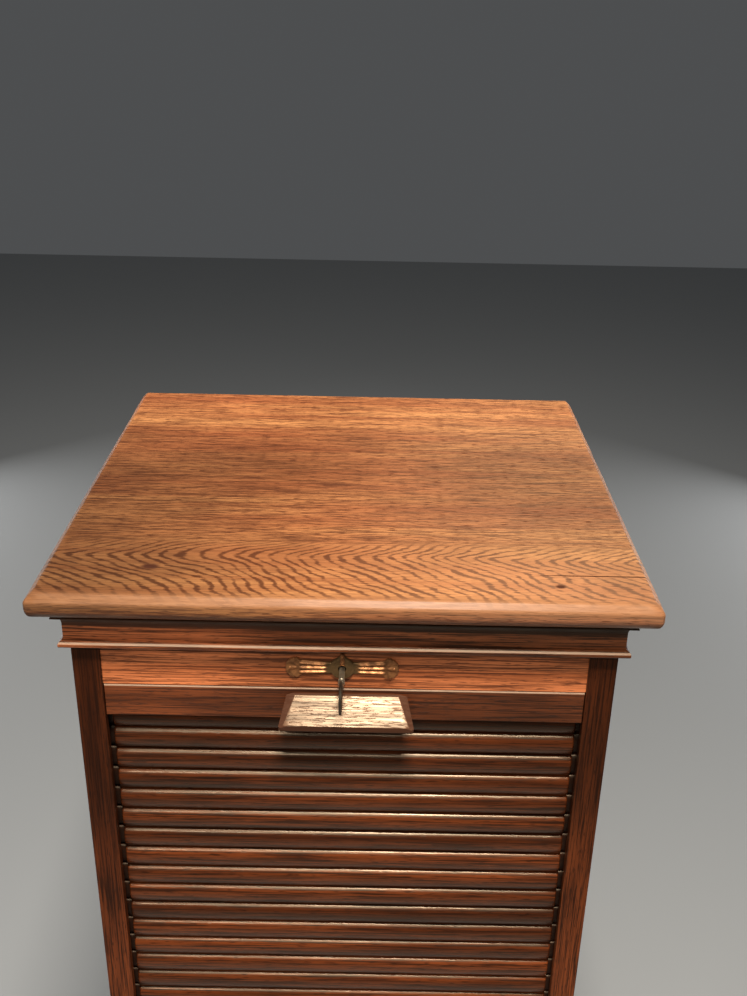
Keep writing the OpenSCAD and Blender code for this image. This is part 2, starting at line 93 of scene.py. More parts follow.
def make_camera():
    """The photograph's viewpoint: above the front edge, looking down at the shutter's upper half."""
    data = bpy.data.cameras.new("camera")
    data.lens = LENS_MM
    data.sensor_width = 36
    camera = bpy.data.objects.new("camera", data)
    bpy.context.scene.collection.objects.link(camera)
    level = math.cos(CAMERA_PITCH)
    ahead = Vector((math.sin(CAMERA_YAW) * level, math.cos(CAMERA_YAW) * level, -math.sin(CAMERA_PITCH)))
    right = Vector((math.cos(CAMERA_YAW), -math.sin(CAMERA_YAW), 0))
    above = right.cross(ahead)
    turn = Matrix.Rotation(-CAMERA_ROLL, 3, ahead)
    axes = Matrix((turn @ right, turn @ above, -ahead)).transposed()
    place = Vector((CAMERA_X, top_low.y - CAMERA_BEFORE_TOP, TOP + CAMERA_OVER_TOP))
    camera.matrix_world = Matrix.Translation(place) @ axes.to_4x4()
    bpy.context.scene.camera = camera


# ---------------------------------------------------------------- light and floor
def area_light(name, place, aim, size, power, colour, spread=180):
    data = bpy.data.lights.new(name, "AREA")
    data.spread = math.radians(spread)
    data.shape = "RECTANGLE"
    data.size, data.size_y = size
    data.energy = power
    data.color = colour
    light = bpy.data.objects.new(name, data)
    bpy.context.scene.collection.objects.link(light)
    light.location = place
    light.rotation_euler = (Vector(aim) - Vector(place)).to_track_quat("-Z", "Y").to_euler()


def make_studio():
    area_light("high_lamp", (0.14, -1.13, 3.15), (0, -0.2, 0.95), (0.5, 0.38), 34, (1.0, 0.93, 0.83), 100)
    area_light("front_lamp", (-0.42, -2.10, 2.60), (0, -0.2, 0.9), (1.0, 0.3), 24, (1.0, 0.94, 0.86))
    area_light("left_window", (-2.4, -0.6, 1.5), (0, 0, 0.6), (0.9, 1.2), 7, (0.78, 0.88, 1.0))
    area_light("right_fill", (2.4, -0.1, 1.2), (0, 0, 0.6), (1.0, 1.4), 7, (1.0, 0.96, 0.9))
    for side, x in (("left", -1.8), ("right", 1.8)):
        area_light(f"back_{side}", (x, 2.2, 0.7), (0, 0.2, 0.6), (1.2, 1.0), 10, (1.0, 1.0, 1.0))
    world = bpy.data.worlds.new("studio")
    bpy.context.scene.world = world
    world.use_nodes = True
    background = world.node_tree.nodes["Background"]
    background.inputs["Color"].default_value = (0.62, 0.64, 0.66, 1)
    background.inputs["Strength"].default_value = 0.12
    bpy.context.scene.view_settings.view_transform = "Standard"


def make_floor():
    half = 6.0
    mesh = bpy.data.meshes.new("floor")
    corners = [(-half, -half, 0), (half, -half, 0), (half, half, 0), (-half, half, 0)]
    mesh.from_pydata(corners, [], [(0, 1, 2, 3)])
    floor = bpy.data.objects.new("floor", mesh)
    bpy.context.scene.collection.objects.link(floor)
    paint = bpy.data.materials.new("floor_paint")
    paint.use_nodes = True
    shader = paint.node_tree.nodes["Principled BSDF"]
    shader.inputs["Base Color"].default_value = (0.37, 0.38, 0.385, 1)
    shader.inputs["Roughness"].default_value = 0.75
    mesh.materials.append(paint)


# ---------------------------------------------------------------- materials
class Shader:
    """A principled material, with short ways to add nodes. A value is a number, a colour or a socket."""

    def __init__(self, name, metallic=0.0, roughness=0.5):
        self.material = bpy.data.materials.new(name)
        self.material.use_nodes = True
        self.tree = self.material.node_tree
        self.out = self.tree.nodes["Principled BSDF"]
        self.out.inputs["Metallic"].default_value = metallic
        self.out.inputs["Roughness"].default_value = roughness
        self.place = self.add("ShaderNodeTexCoord").outputs["Object"]

    def add(self, kind, **settings):
        node = self.tree.nodes.new(kind)
        for key, value in settings.items():
            setattr(node, key, value)
        return node

    def feed(self, socket, value):
        if isinstance(value, bpy.types.NodeSocket):
            self.tree.links.new(value, socket)
        elif isinstance(value, (tuple, list)) and len(value) == 3 and socket.type == "RGBA":
            socket.default_value = (*value, 1)
        else:
            socket.default_value = value

    def math(self, operation, a, b=0.0):
        node = self.add("ShaderNodeMath", operation=operation)
        self.feed(node.inputs[0], a)
        self.feed(node.inputs[1], b)
        return node.outputs[0]

    def plus(self, a, b):
        return self.math("ADD", a, b)

    def minus(self, a, b):
        return self.math("SUBTRACT", a, b)

    def times(self, first, *others):
        for other in others:
            first = self.math("MULTIPLY", first, other)
        return first

    def swing(self, value, amount):
        """A noise value moved to lie about 0, and drawn out."""
        return self.times(self.minus(value, 0.5), amount)

    def stretch(self, scale, turn=(0, 0, 0), where=None):
        node = self.add("ShaderNodeMapping")
        self.feed(node.inputs["Vector"], where or self.place)
        node.inputs["Scale"].default_value = scale
        node.inputs["Rotation"].default_value = turn
        return node.outputs[0]

    def noise(self, where, detail=2.0, rough=0.5, distortion=0.0):
        node = self.add("ShaderNodeTexNoise")
        self.feed(node.inputs["Vector"], where)
        node.inputs["Scale"].default_value = 1.0
        node.inputs["Detail"].default_value = detail
        node.inputs["Roughness"].default_value = rough
        node.inputs["Distortion"].default_value = distortion
        return node.outputs["Fac"]

    def step(self, value, low, high, to_low=0.0, to_high=1.0):
        node = self.add("ShaderNodeMapRange", interpolation_type="SMOOTHSTEP")
        self.feed(node.inputs["Value"], value)
        node.inputs["From Min"].default_value = low
        node.inputs["From Max"].default_value = high
        node.inputs["To Min"].default_value = to_low
        node.inputs["To Max"].default_value = to_high
        return node.outputs["Result"]

    def mix(self, share, a, b, blend="MIX"):
        node = self.add("ShaderNodeMix", data_type="RGBA", blend_type=blend)
        self.feed(node.inputs["Factor"], share)
        self.feed(node.inputs[6], a)
        self.feed(node.inputs[7], b)
        return node.outputs[2]

    def xyz(self, where=None):
        node = self.add("ShaderNodeSeparateXYZ")
        self.feed(node.inputs[0], where or self.place)
        return node.outputs

    def bump(self, height, strength, distance):
        node = self.add("ShaderNodeBump")
        node.inputs["Strength"].default_value = strength
        node.inputs["Distance"].default_value = distance
        self.feed(node.inputs["Height"], height)
        self.feed(self.out.inputs["Normal"], node.outputs[0])


# Real sizes of the oak's marks, in metres
PORE_LENGTH, PORE_WIDTH = 0.011, 0.0010
FIBRE_LENGTH, FIBRE_WIDTH = 0.075, 0.0015
BAND_LENGTH, BAND_WIDTH = 0.5, 0.024
PORE_DEPTH = 0.75
RELIEF_DEPTH = 0.0004
GRAIN_TURN = {"x": (0, 0, 0), "y": (0, 0, math.pi / 2), "z": (0, math.pi / 2, 0)}
# Heights over which a colour darkens upward: (start, full, amount)
# On the stiles: darker toward the top
STILE_DARKER_ABOVE = (0.62, 1.02, 0.75)
# On the cornice: painted shadow under the top board's overhang
COVE_PAINTED_SHADOW = (1.0795, 1.0825, 0.95)
# Heights between which an edge carries a painted highlight
LIP_PAINTED_HIGHLIGHT = (1.0657, 1.0671)
RAIL_PAINTED_HIGHLIGHT = (rail_high.z - 0.0011, rail_high.z)

WARM_SHINE = (1.0, 0.80, 0.56, 1)
# The colour of a painted highlight on an edge
EDGE_HIGHLIGHT_TONE = (0.66, 0.44, 0.30)
# Painted shade in the slats' grooves
GROOVE_PAINTED_SHADE = (0.008, 0.003, 0.002)
KNOT_BROWN = (0.05, 0.014, 0.007)


def grain(shader, run="x", fibre_length=FIBRE_LENGTH):
    """Three scales of noise drawn out along the grain: broad bands, fibres and open pores."""
    straight = shader.stretch((1, 1, 1), GRAIN_TURN[run])
    drawn = []
    for length, width, detail in ((BAND_LENGTH, BAND_WIDTH, (3.0, 0.55, 0.4)),
                                  (fibre_length, FIBRE_WIDTH, (4.0, 0.62, 0.3)),
                                  (PORE_LENGTH, PORE_WIDTH, (1.5, 0.5, 0.1))):
        scale = (1 / length, 1 / width, 1 / width)
        drawn.append(shader.noise(shader.stretch(scale, where=straight), *detail))
    return drawn


def polish(shader, roughness, coat, coat_roughness, shine):
    shader.out.inputs["Coat Weight"].default_value = coat
    shader.out.inputs["Coat Roughness"].default_value = coat_roughness
    shader.out.inputs["Specular IOR Level"].default_value = shine
    shader.out.inputs["Specular Tint"].default_value = WARM_SHINE
    shader.feed(shader.out.inputs["Roughness"], roughness)


# The pull's face: its half width at the top edge, and how much wider each side is per unit of fall
FACE_HALF = 0.0422
FACE_SPREAD = 0.5


def pull_border(shader):
    """1 on the pull's lip, cheeks and top edge, which are dull with handling and painted darker as shade,
    and 0 on its sloping face.
    """
    x, y, z = shader.xyz()
    away = shader.math("ABSOLUTE", shader.minus(x, PULL_MIDDLE))
    fallen = shader.minus(pull_high.z, z)
    beyond = shader.minus(away, shader.times(fallen, FACE_SPREAD))
    border = shader.step(beyond, FACE_HALF, FACE_HALF + 0.0012)
    border = shader.math("MAXIMUM", border, shader.step(fallen, 0.0008, 0.0016, 1.0, 0.0))
    return shader.math("MAXIMUM", border, shader.step(z, pull_low.z + 0.0070, pull_low.z + 0.0082, 1.0, 0.0))


def painted_edge_highlight(shader, low, high):
    """A painted highlight along a moulding's front edge, between two heights."""
    x, y, z = shader.xyz()
    strip = shader.times(shader.step(z, low - 0.0004, low + 0.0002),
                         shader.step(z, high - 0.0001, high + 0.0003, 1.0, 0.0))
    return shader.times(strip, shader.step(y, RAIL_Y + 0.0004, RAIL_Y + 0.0012, 0.7, 0.0))


def oak(name, tones, run="x", gloss=0.38, shine=0.35, coat=0.05, darker_above=None,
        ends=None, painted_side_light=None, framed=False, worn=None, relief=0.35):
    """Oak in three tones, with its grain along run. ends is the half length beyond which a slat is painted
    near-black as shade in its groove, the left and right pair sets painted light and shade across the tone,
    and framed is for the pull's border, dull and painted darker as shade."""
    pale, mid, dark = tones
    shader = Shader(name)
    bands, fibres, pores = grain(shader, run)
    patches = shader.noise(shader.stretch((5, 5, 5)), 2.0)
    holes = shader.step(pores, 0.56, 0.70)
    sheen = shader.step(fibres, 0.3, 0.7, gloss - 0.05, gloss + 0.12)
    colour = shader.mix(shader.step(bands, 0.32, 0.66), mid, pale)
    colour = shader.mix(shader.step(fibres, 0.42, 0.62, 0.0, 0.9), colour, dark)
    colour = shader.mix(shader.times(holes, PORE_DEPTH), colour, dark)
    # Darker upward: painted shadow under the overhang on the cornice, a plain darkening toward the top on
    # the stiles
    if darker_above:
        low, high, amount = darker_above
        colour = shader.mix(shader.step(shader.xyz()[2], low, high, 0.0, amount), colour, dark)
    # Painted shade: the slat ends in the grooves are darkened to near-black
    if ends:
        away = shader.math("ABSOLUTE", shader.xyz()[0])
        hidden = shader.step(away, ends - 0.0008, ends + 0.0004)
        colour = shader.mix(shader.times(hidden, 0.9), colour, GROOVE_PAINTED_SHADE)
        sheen = shader.plus(sheen, shader.times(hidden, 0.12))
    colour = shader.mix(1.0, colour, shader.step(patches, 0.3, 0.7, 0.72, 1.22), "MULTIPLY")
    # Painted light and shade: the tone lighter or darker from left to right
    if painted_side_light:
        colour = shader.mix(1.0, colour, shader.step(shader.xyz()[0], -0.16, 0.16, *painted_side_light), "MULTIPLY")
    # A painted highlight along the front edge, between the given heights
    if worn:
        colour = shader.mix(painted_edge_highlight(shader, *worn), colour, EDGE_HIGHLIGHT_TONE)
    # The pull's border: painted darker as shade, and duller
    if framed:
        border = pull_border(shader)
        colour = shader.mix(shader.times(border, 0.95), colour, dark)
        sheen = shader.plus(sheen, shader.times(border, 0.50))
    shader.feed(shader.out.inputs["Base Color"], colour)
    polish(shader, sheen, coat, 0.28, shine)
    shader.bump(shader.minus(shader.times(fibres, 0.4), holes), relief, RELIEF_DEPTH)
    return shader.material


# The flame figure on the top: where its spine lies, how its arches open, and their spacing
SPINE_BEHIND_FRONT = 0.077
FIGURE_BEHIND_SPINE = 0.036
FIGURE_BEFORE_SPINE = 0.068
ARCH_SPACING = 0.0135
ARCH_OPEN = 1.62
ARCH_LEAN = 0.40
ARCH_ROUND = 0.003
TOP_FIBRE_LENGTH = 0.034
TOP_PALE = (0.60, 0.255, 0.090)
TOP_MID = (0.40, 0.135, 0.046)
TOP_DARK = (0.10, 0.025, 0.009)
TOP_RED = (0.31, 0.075, 0.026)
# The colour of a painted sheen on the right of the top
TOP_PAINTED_SHEEN = (0.62, 0.48, 0.30)
TOP_RUBBED = (0.24, 0.10, 0.04)
# The crack that runs in from the right edge, and the knots: middle, and half the length and width
CRACK_LENGTH = 0.102
CRACK_BEHIND_FRONT = 0.0505
CRACK_WIDTH = 0.0014
KNOTS = ((-0.160, -0.192, 0.009, 0.0055), (top_high.x - 0.078, top_low.y + 0.032, 0.0052, 0.0034))


def flame_figure(shader, x, y, pores):
    """Two shares: the dark lines of arches that open toward the front, and the zone where they lie."""
    sway = shader.noise(shader.stretch((7, 20, 1)), 2.0)
    ahead = shader.minus(top_low.y + SPINE_BEHIND_FRONT, y)
    ahead = shader.plus(ahead, shader.swing(sway, 0.02))
    rounded = shader.plus(shader.times(ahead, ahead), ARCH_ROUND * ARCH_ROUND)
    reach = shader.times(shader.math("SQRT", rounded), ARCH_OPEN)
    reach = shader.minus(reach, shader.times(ahead, ARCH_LEAN))
    drift = shader.swing(shader.noise(shader.stretch((4, 9, 1))), 0.09)
    arch = shader.minus(shader.plus(x, drift), reach)
    ripple = shader.noise(shader.stretch((18, 55, 1)), 3.0)
    arch = shader.plus(shader.math("DIVIDE", arch, ARCH_SPACING), shader.times(ripple, 1.7))
    wave = shader.math("SINE", shader.times(arch, 2 * math.pi))
    broken = shader.swing(pores, 3.0)
    bold = shader.swing(shader.noise(shader.stretch((30, 60, 1)), 2.0), 2.6)
    lines = shader.step(shader.plus(shader.plus(wave, broken), bold), 0.15, 0.95)
    zone = shader.step(ahead, -FIGURE_BEHIND_SPINE, -0.3 * FIGURE_BEHIND_SPINE)
    fore = shader.step(ahead, FIGURE_BEFORE_SPINE, FIGURE_BEFORE_SPINE + 0.010, 1.0, 0.0)
    return lines, shader.times(zone, fore)


def top_painted_light(shader, x, y, patches):
    """Painted light and shade over the board: darker at the front left, and lighter toward the back."""
    spread = shader.plus(x, shader.times(patches, 0.2))
    front = shader.step(spread, -0.16, 0.16, 0.385, 0.84)
    behind = shader.step(y, -0.02, 0.20)
    return shader.plus(shader.times(front, shader.minus(1.0, behind)), shader.times(behind, 1.28))


def top_blemishes(shader, x, y, colour):
    off_line = shader.math("ABSOLUTE", shader.minus(y, top_low.y + CRACK_BEHIND_FRONT))
    crack_end = top_high.x - CRACK_LENGTH
    crack = shader.times(shader.step(off_line, 0.0005, 0.0012, 0.9, 0.0),
                         shader.step(x, crack_end, crack_end + 0.3 * CRACK_LENGTH))
    colour = shader.mix(crack, colour, KNOT_BROWN)
    for middle_x, middle_y, half_length, half_width in KNOTS:
        along = shader.math("DIVIDE", shader.minus(x, middle_x), half_length)
        across = shader.math("DIVIDE", shader.minus(y, middle_y), half_width)
        squares = shader.plus(shader.times(along, along), shader.times(across, across))
        knot = shader.step(shader.math("SQRT", squares), 0.45, 1.15, 0.95, 0.0)
        colour = shader.mix(knot, colour, KNOT_BROWN)
    return colour


def top_oak():
    """The top board: short-dashed straight grain behind, and a flame figure along the front."""
    shader = Shader("oak_top")
    bands, fibres, pores = grain(shader, fibre_length=TOP_FIBRE_LENGTH)
    x, y, z = shader.xyz()
    lines, zone = flame_figure(shader, x, y, pores)
    holes = shader.step(pores, 0.53, 0.66)
    patches = shader.noise(shader.stretch((4, 6, 4)), 2.0)
    nosing = shader.times(shader.step(z, TOP - 0.014, TOP - 0.004),
                          shader.step(y, top_low.y + 0.002, top_low.y + 0.016, 1.0, 0.0))

    colour = shader.mix(shader.step(bands, 0.30, 0.68), TOP_MID, TOP_PALE)
    redder = shader.noise(shader.stretch((3, 14, 3)), 2.0)
    colour = shader.mix(shader.step(redder, 0.42, 0.66, 0.0, 0.5), colour, TOP_RED)
    straight = shader.times(shader.step(fibres, 0.42, 0.62), shader.step(zone, 0, 1, 0.9, 0.4))
    colour = shader.mix(straight, colour, TOP_DARK)
    colour = shader.mix(shader.times(zone, shader.step(x, -0.2, 0.15, 0.0, 0.22)), colour, TOP_PALE)
    colour = shader.mix(shader.times(lines, zone, 0.85), colour, TOP_DARK)
    # A painted sheen toward the right of the top, paler and less saturated
    painted_sheen = shader.times(shader.step(x, -0.08, 0.20, 0.0, 0.13), shader.step(y, 0.05, 0.22, 1.0, 0.4))
    colour = shader.mix(painted_sheen, colour, TOP_PAINTED_SHEEN)
    colour = shader.mix(shader.times(holes, shader.step(zone, 0, 1, 0.85, 0.3)), colour, TOP_DARK)
    # Painted light and shade over the board
    colour = shader.mix(1.0, colour, top_painted_light(shader, x, y, patches), "MULTIPLY")
    colour = shader.mix(1.0, colour, shader.step(patches, 0.3, 0.7, 0.82, 1.15), "MULTIPLY")
    colour = top_blemishes(shader, x, y, colour)
    rubbed = shader.times(nosing, shader.step(patches, 0.3, 0.6, 0.55, 0.85))
    colour = shader.mix(rubbed, colour, TOP_RUBBED)
    # Painted shade on the nosing's lower half, which faces down
    colour = shader.mix(shader.step(z, TOP - 0.016, TOP - 0.010, 0.55, 0.0), colour, TOP_DARK)
    shader.feed(shader.out.inputs["Base Color"], colour)

    sides = shader.step(shader.math("ABSOLUTE", x), top_high.x - 0.012, top_high.x - 0.004, 0.0, 0.3)
    matt = shader.plus(shader.step(fibres, 0.3, 0.7, 0.30, 0.50), sides)
    matt = shader.plus(matt, shader.times(nosing, 0.34))
    polish(shader, matt, 0.12, 0.30, 0.5)
    height = shader.minus(shader.times(fibres, 0.4), holes)
    height = shader.minus(height, shader.times(lines, 0.3))
    shader.bump(height, 0.4, RELIEF_DEPTH)
    return shader.material


def aged_brass():
    """Bright on the plate's arms and finial, tarnished on its boss."""
    shader = Shader("aged_brass", metallic=0.7)
    tarnish = shader.noise(shader.stretch((160, 160, 160)), 4.0, 0.6)
    from_lock = shader.math("ABSOLUTE", shader.minus(shader.xyz()[0], LOCK_X))
    boss = shader.times(shader.step(from_lock, 0.010, 0.018, 0.75, 0.12),
                        shader.step(from_lock, 0.0014, 0.0024))
    colour = shader.mix(shader.step(tarnish, 0.35, 0.7), (0.43, 0.175, 0.062), (0.17, 0.066, 0.023))
    colour = shader.mix(boss, colour, (0.10, 0.075, 0.03))
    shader.feed(shader.out.inputs["Base Color"], colour)
    shader.feed(shader.out.inputs["Roughness"], shader.step(tarnish, 0.3, 0.7, 0.36, 0.6))
    shader.bump(tarnish, 0.25, 0.0002)
    return shader.material


def worn_metal(name, bright, dull, shaded_bow=False):
    """Spotted grey metal. For the key, the bow is painted dark as shade."""
    shader = Shader(name, metallic=1.0)
    spots = shader.noise(shader.stretch((220, 220, 220)), 4.0, 0.6)
    colour = shader.mix(shader.step(spots, 0.35, 0.7), bright, dull)
    # Painted shade: the key's bow, seen edge on, is darkened
    if shaded_bow:
        bow = shader.step(shader.xyz()[1], RAIL_Y - 0.033, RAIL_Y - 0.026, 0.85, 0.0)
        colour = shader.mix(bow, colour, (0.07, 0.05, 0.035))
    shader.feed(shader.out.inputs["Base Color"], colour)
    shader.feed(shader.out.inputs["Roughness"], shader.step(spots, 0.3, 0.7, 0.34, 0.56))
    shader.bump(spots, 0.2, 0.0002)
    return shader.material


THREAD = 0.0011


def canvas_cloth():
    """A plain weave: two sets of threads, over and under each other."""
    shader = Shader("canvas_cloth", roughness=0.9)
    x, y, z = shader.xyz()
    across, up = [shader.math("SINE", shader.times(c, 2 * math.pi / THREAD)) for c in (x, z)]
    weave = shader.times(across, up)
    stain = shader.noise(shader.stretch((12, 12, 12)), 3.0)
    colour = shader.mix(shader.step(weave, -1, 1), (0.34, 0.27, 0.17), (0.52, 0.44, 0.30))
    colour = shader.mix(shader.step(stain, 0.4, 0.7, 0.0, 0.4), colour, (0.26, 0.18, 0.10))
    shader.feed(shader.out.inputs["Base Color"], colour)
    shader.bump(weave, 0.5, 0.0003)
    return shader.material


# Pale, mid and dark tones
STILE_TONES = (0.26, 0.060, 0.015), (0.095, 0.021, 0.0058), (0.015, 0.0038, 0.0015)
PLINTH_TONES = (0.17, 0.042, 0.013), (0.09, 0.022, 0.007), (0.02, 0.005, 0.002)
CORNICE_TONES = (0.50, 0.150, 0.052), (0.19, 0.048, 0.015), (0.02, 0.005, 0.002)
CORNICE_SIDE_TONES = (0.36, 0.105, 0.035), (0.14, 0.036, 0.011), (0.02, 0.005, 0.002)
RAIL_TONES = (0.58, 0.175, 0.061), (0.35, 0.094, 0.029), (0.08, 0.019, 0.007)
LEAD_TONES = (0.20, 0.050, 0.015), (0.105, 0.025, 0.007), (0.03, 0.007, 0.003)
SLAT_TONES = (0.135, 0.031, 0.0080), (0.052, 0.012, 0.0032), (0.012, 0.0030, 0.0013)
PULL_TONES = (0.19, 0.066, 0.020), (0.11, 0.034, 0.010), (0.04, 0.010, 0.004)
INNER_TONES = (0.42, 0.25, 0.13), (0.33, 0.18, 0.09), (0.16, 0.08, 0.04)
INNER_UP_TONES = (0.40, 0.24, 0.12), (0.31, 0.17, 0.08), (0.15, 0.075, 0.035)


def make_materials():
    # A left and right pair in the looks paints light and shade across the tone
    return {
        "oak_top": top_oak(),
        "oak": oak("oak", STILE_TONES, run="z", shine=0.16, coat=0.0, darker_above=STILE_DARKER_ABOVE, painted_side_light=(1.05, 0.8)),
        "oak_across": oak("oak_across", PLINTH_TONES),
        "oak_across_side": oak("oak_across_side", PLINTH_TONES, run="y"),
        "oak_dark": oak("oak_dark", CORNICE_TONES, gloss=0.34, shine=0.48, darker_above=COVE_PAINTED_SHADOW,
                        painted_side_light=(2.1, 0.50), worn=LIP_PAINTED_HIGHLIGHT),
        "oak_dark_side": oak("oak_dark_side", CORNICE_SIDE_TONES, run="y", darker_above=COVE_PAINTED_SHADOW),
        "oak_rail": oak("oak_rail", RAIL_TONES, painted_side_light=(1.15, 0.95)),
        "oak_lead": oak("oak_lead", LEAD_TONES, gloss=0.32, shine=0.48, painted_side_light=(1.0, 0.53), worn=RAIL_PAINTED_HIGHLIGHT),
        "oak_slat": oak("oak_slat", SLAT_TONES, gloss=0.25, shine=0.53, coat=0.0,
                        ends=OPEN_HALF - SLAT_SHOULDER, relief=0.12),
        "oak_pull": oak("oak_pull", PULL_TONES, gloss=0.31, shine=0.48, coat=0.0, framed=True),
        "inner_wood": oak("inner_wood", INNER_TONES, gloss=0.6, coat=0.0),
        "inner_wood_up": oak("inner_wood_up", INNER_UP_TONES, run="z", gloss=0.6, coat=0.0),
        "canvas": canvas_cloth(),
        "brass": aged_brass(),
        "key_metal": worn_metal("key_metal", (0.62, 0.54, 0.40), (0.36, 0.30, 0.21), shaded_bow=True),
        "steel": worn_metal("steel", (0.42, 0.41, 0.40), (0.22, 0.20, 0.19)),
    }


# ---------------------------------------------------------------- mesh helpers
SMOOTH_ANGLE = math.radians(38)
WEAR_SEED = 1


def piece(name, points, faces, look, slot, body, replaces=()):
    """A new solid that rides on a body and stands for the named CAD nodes."""
    mesh = bpy.data.meshes.new(name)
    mesh.from_pydata(points, [], faces)
    obj = bpy.data.objects.new(name, mesh)
    bpy.context.scene.collection.objects.link(obj)
    mesh.materials.append(materials[look])
    tidy(mesh)
    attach(obj, body)
    if replaces:
        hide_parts(*replaces)
    return obj


def tidy(mesh):
    """Merges doubled points, turns the faces outward and smooths all but the sharp edges."""
    work = bmesh.new()
    work.from_mesh(mesh)
    bmesh.ops.remove_doubles(work, verts=work.verts, dist=1e-6)
    bmesh.ops.recalc_face_normals(work, faces=work.faces)
    work.to_mesh(mesh)
    work.free()
    mesh.shade_smooth()
    mesh.set_sharp_from_angle(angle=SMOOTH_ANGLE)


def keep_flats_flat(obj):
    """Lets the large faces set the shading, so that narrow rounded edges don't bend it."""
    change = obj.modifiers.new("flats", "WEIGHTED_NORMAL")
    change.mode = "FACE_AREA"
    change.weight = 100
    change.keep_sharp = True


def loft(rings):
    """Points and faces of a tube through rings of equal length, closed at both ends."""
    count = len(rings[0])
    points = [p for ring in rings for p in ring]
    faces = []
    for r in range(len(rings) - 1):
        for i in range(count):
            j = (i + 1) % count
            a, b = r * count, (r + 1) * count
            faces.append((a + i, a + j, b + j, b + i))
    faces.append(tuple(range(count)))
    faces.append(tuple(range(len(points) - count, len(points))))
    return points, faces


def joined(*parts):
    """Several (points, faces) pairs as one."""
    points, faces = [], []
    for more_points, more_faces in parts:
        start = len(points)
        points += more_points
        faces += [tuple(start + i for i in face) for face in more_faces]
    return points, faces


def carve(obj, points, faces):
    """Cuts a closed shape out of a piece."""
    mesh = bpy.data.meshes.new("cutter")
    mesh.from_pydata(points, [], faces)
    tidy(mesh)
    cutter = bpy.data.objects.new("cutter", mesh)
    bpy.context.scene.collection.objects.link(cutter)
    change = obj.modifiers.new("carve", "BOOLEAN")
    change.operation = "DIFFERENCE"
    change.solver = "EXACT"
    change.object = cutter
    bpy.context.view_layer.update()
    result = bpy.data.meshes.new_from_object(obj.evaluated_get(bpy.context.evaluated_depsgraph_get()))
    obj.modifiers.clear()
    obj.data = result
    bpy.data.objects.remove(cutter)
    tidy(result)


def wobble(point, amount, length, seed=0.0):
    """A point moved a little by smooth noise, as hand-worn wood is."""
    where = Vector(point) / length + Vector((seed, seed * 1.7, seed * 0.3))
    return Vector(point) + noise.noise_vector(where) * amount


def box_shape(low, high):
    corners = [(x, y, z) for x in (low[0], high[0]) for y in (low[1], high[1]) for z in (low[2], high[2])]
    faces = [(0, 1, 3, 2), (4, 6, 7, 5), (0, 4, 5, 1), (2, 3, 7, 6), (0, 2, 6, 4), (1, 5, 7, 3)]
    return corners, faces


def arc(centre, radius, start, end, steps):
    """Points on an arc; radius is a number, or a pair for an ellipse. Angles in degrees."""
    rx, ry = radius if isinstance(radius, tuple) else (radius, radius)
    result = []
    for i in range(steps + 1):
        t = math.radians(start + (end - start) * i / steps)
        result.append((centre[0] + rx * math.cos(t), centre[1] + ry * math.sin(t)))
    return result


def circle(radius, sides):
    return [(radius * math.cos(2 * math.pi * i / sides), radius * math.sin(2 * math.pi * i / sides))
            for i in range(sides)]


def rise(value, start, end):
    """0 up to start, 1 from end on, and straight between them."""
    return min(max((value - start) / (end - start), 0), 1)


# ---------------------------------------------------------------- top board
CORNER_R = 0.003
EDGE_WEAR = 0.00030
WEAR_LENGTH = 0.03
# The nosing's section: an arc off the top, a slope that ends on a tighter arc, and a bullnose below
NOSING_INSET = 0.0078
NOSING_TILT = 133
NOSING_TURN = 0.0040
NOSING_EDGE = 0.0045
NOSING_SLOPE = 0.0050
BULLNOSE_DEPTH = 0.0095
BULLNOSE_BELOW_TOP = 0.0124
CRACK_DEPTH = 0.008


def nosing_profile():
    """(inset, z) from the top surface down a worn, rounded slope and a bullnose to the underside."""
    cos, sin = math.cos(math.radians(NOSING_TILT)), math.sin(math.radians(NOSING_TILT))
    fall = NOSING_TURN * (1 - sin) - NOSING_SLOPE * cos + NOSING_EDGE * sin
    start = TOP - BULLNOSE_BELOW_TOP
    profile = arc((NOSING_INSET, TOP - NOSING_TURN), NOSING_TURN, 90, NOSING_TILT, 6)
    profile += arc((NOSING_EDGE, TOP - fall), NOSING_EDGE, NOSING_TILT, 180, 7)
    return profile + arc((BULLNOSE_DEPTH, start), (BULLNOSE_DEPTH, start - top_low.z), 180, 270, 9)


def top_path():
    """Plan points and outward directions, from the back left corner round the front to the back right."""
    left, right = top_low.x, top_high.x
    front, back = top_low.y, top_high.y
    r, steps = CORNER_R, 46
    corner = [math.radians(180 + 90 * i / 6) for i in range(7)]
    path = [((left, back + (front + r - back) * i / steps), (-1, 0)) for i in range(steps)]
    for t in corner:
        out = (math.cos(t), math.sin(t))
        path.append(((left + r + r * out[0], front + r + r * out[1]), out))
    path += [((left + r + (right - left - 2 * r) * i / steps, front), (0, -1)) for i in range(1, steps)]
    for t in corner:
        out = (math.cos(t + math.pi / 2), math.sin(t + math.pi / 2))
        path.append(((right - r + r * out[0], front + r + r * out[1]), out))
    path += [((right, front + r + (back - front - r) * i / steps), (1, 0)) for i in range(1, steps + 1)]
    return path


def mitre(place, out, inset):
    """A path point moved inward by inset, so that the profile stays square at the corners."""
    if min(abs(out[0]), abs(out[1])) > 1e-6:
        centre = (place[0] - out[0] * CORNER_R, place[1] - out[1] * CORNER_R)
        if inset >= CORNER_R:
            inward = inset - CORNER_R
            return (centre[0] - math.copysign(inward, out[0]), centre[1] + inward)
        return (centre[0] + out[0] * (CORNER_R - inset), centre[1] + out[1] * (CORNER_R - inset))
    x = place[0] - out[0] * inset
    y = place[1] - out[1] * inset
    if abs(out[1]) < 1e-6:
        y = max(y, top_low.y + max(inset, CORNER_R))
    else:
        x = max(min(x, top_high.x - max(inset, CORNER_R)), top_low.x + max(inset, CORNER_R))
    return (x, y)


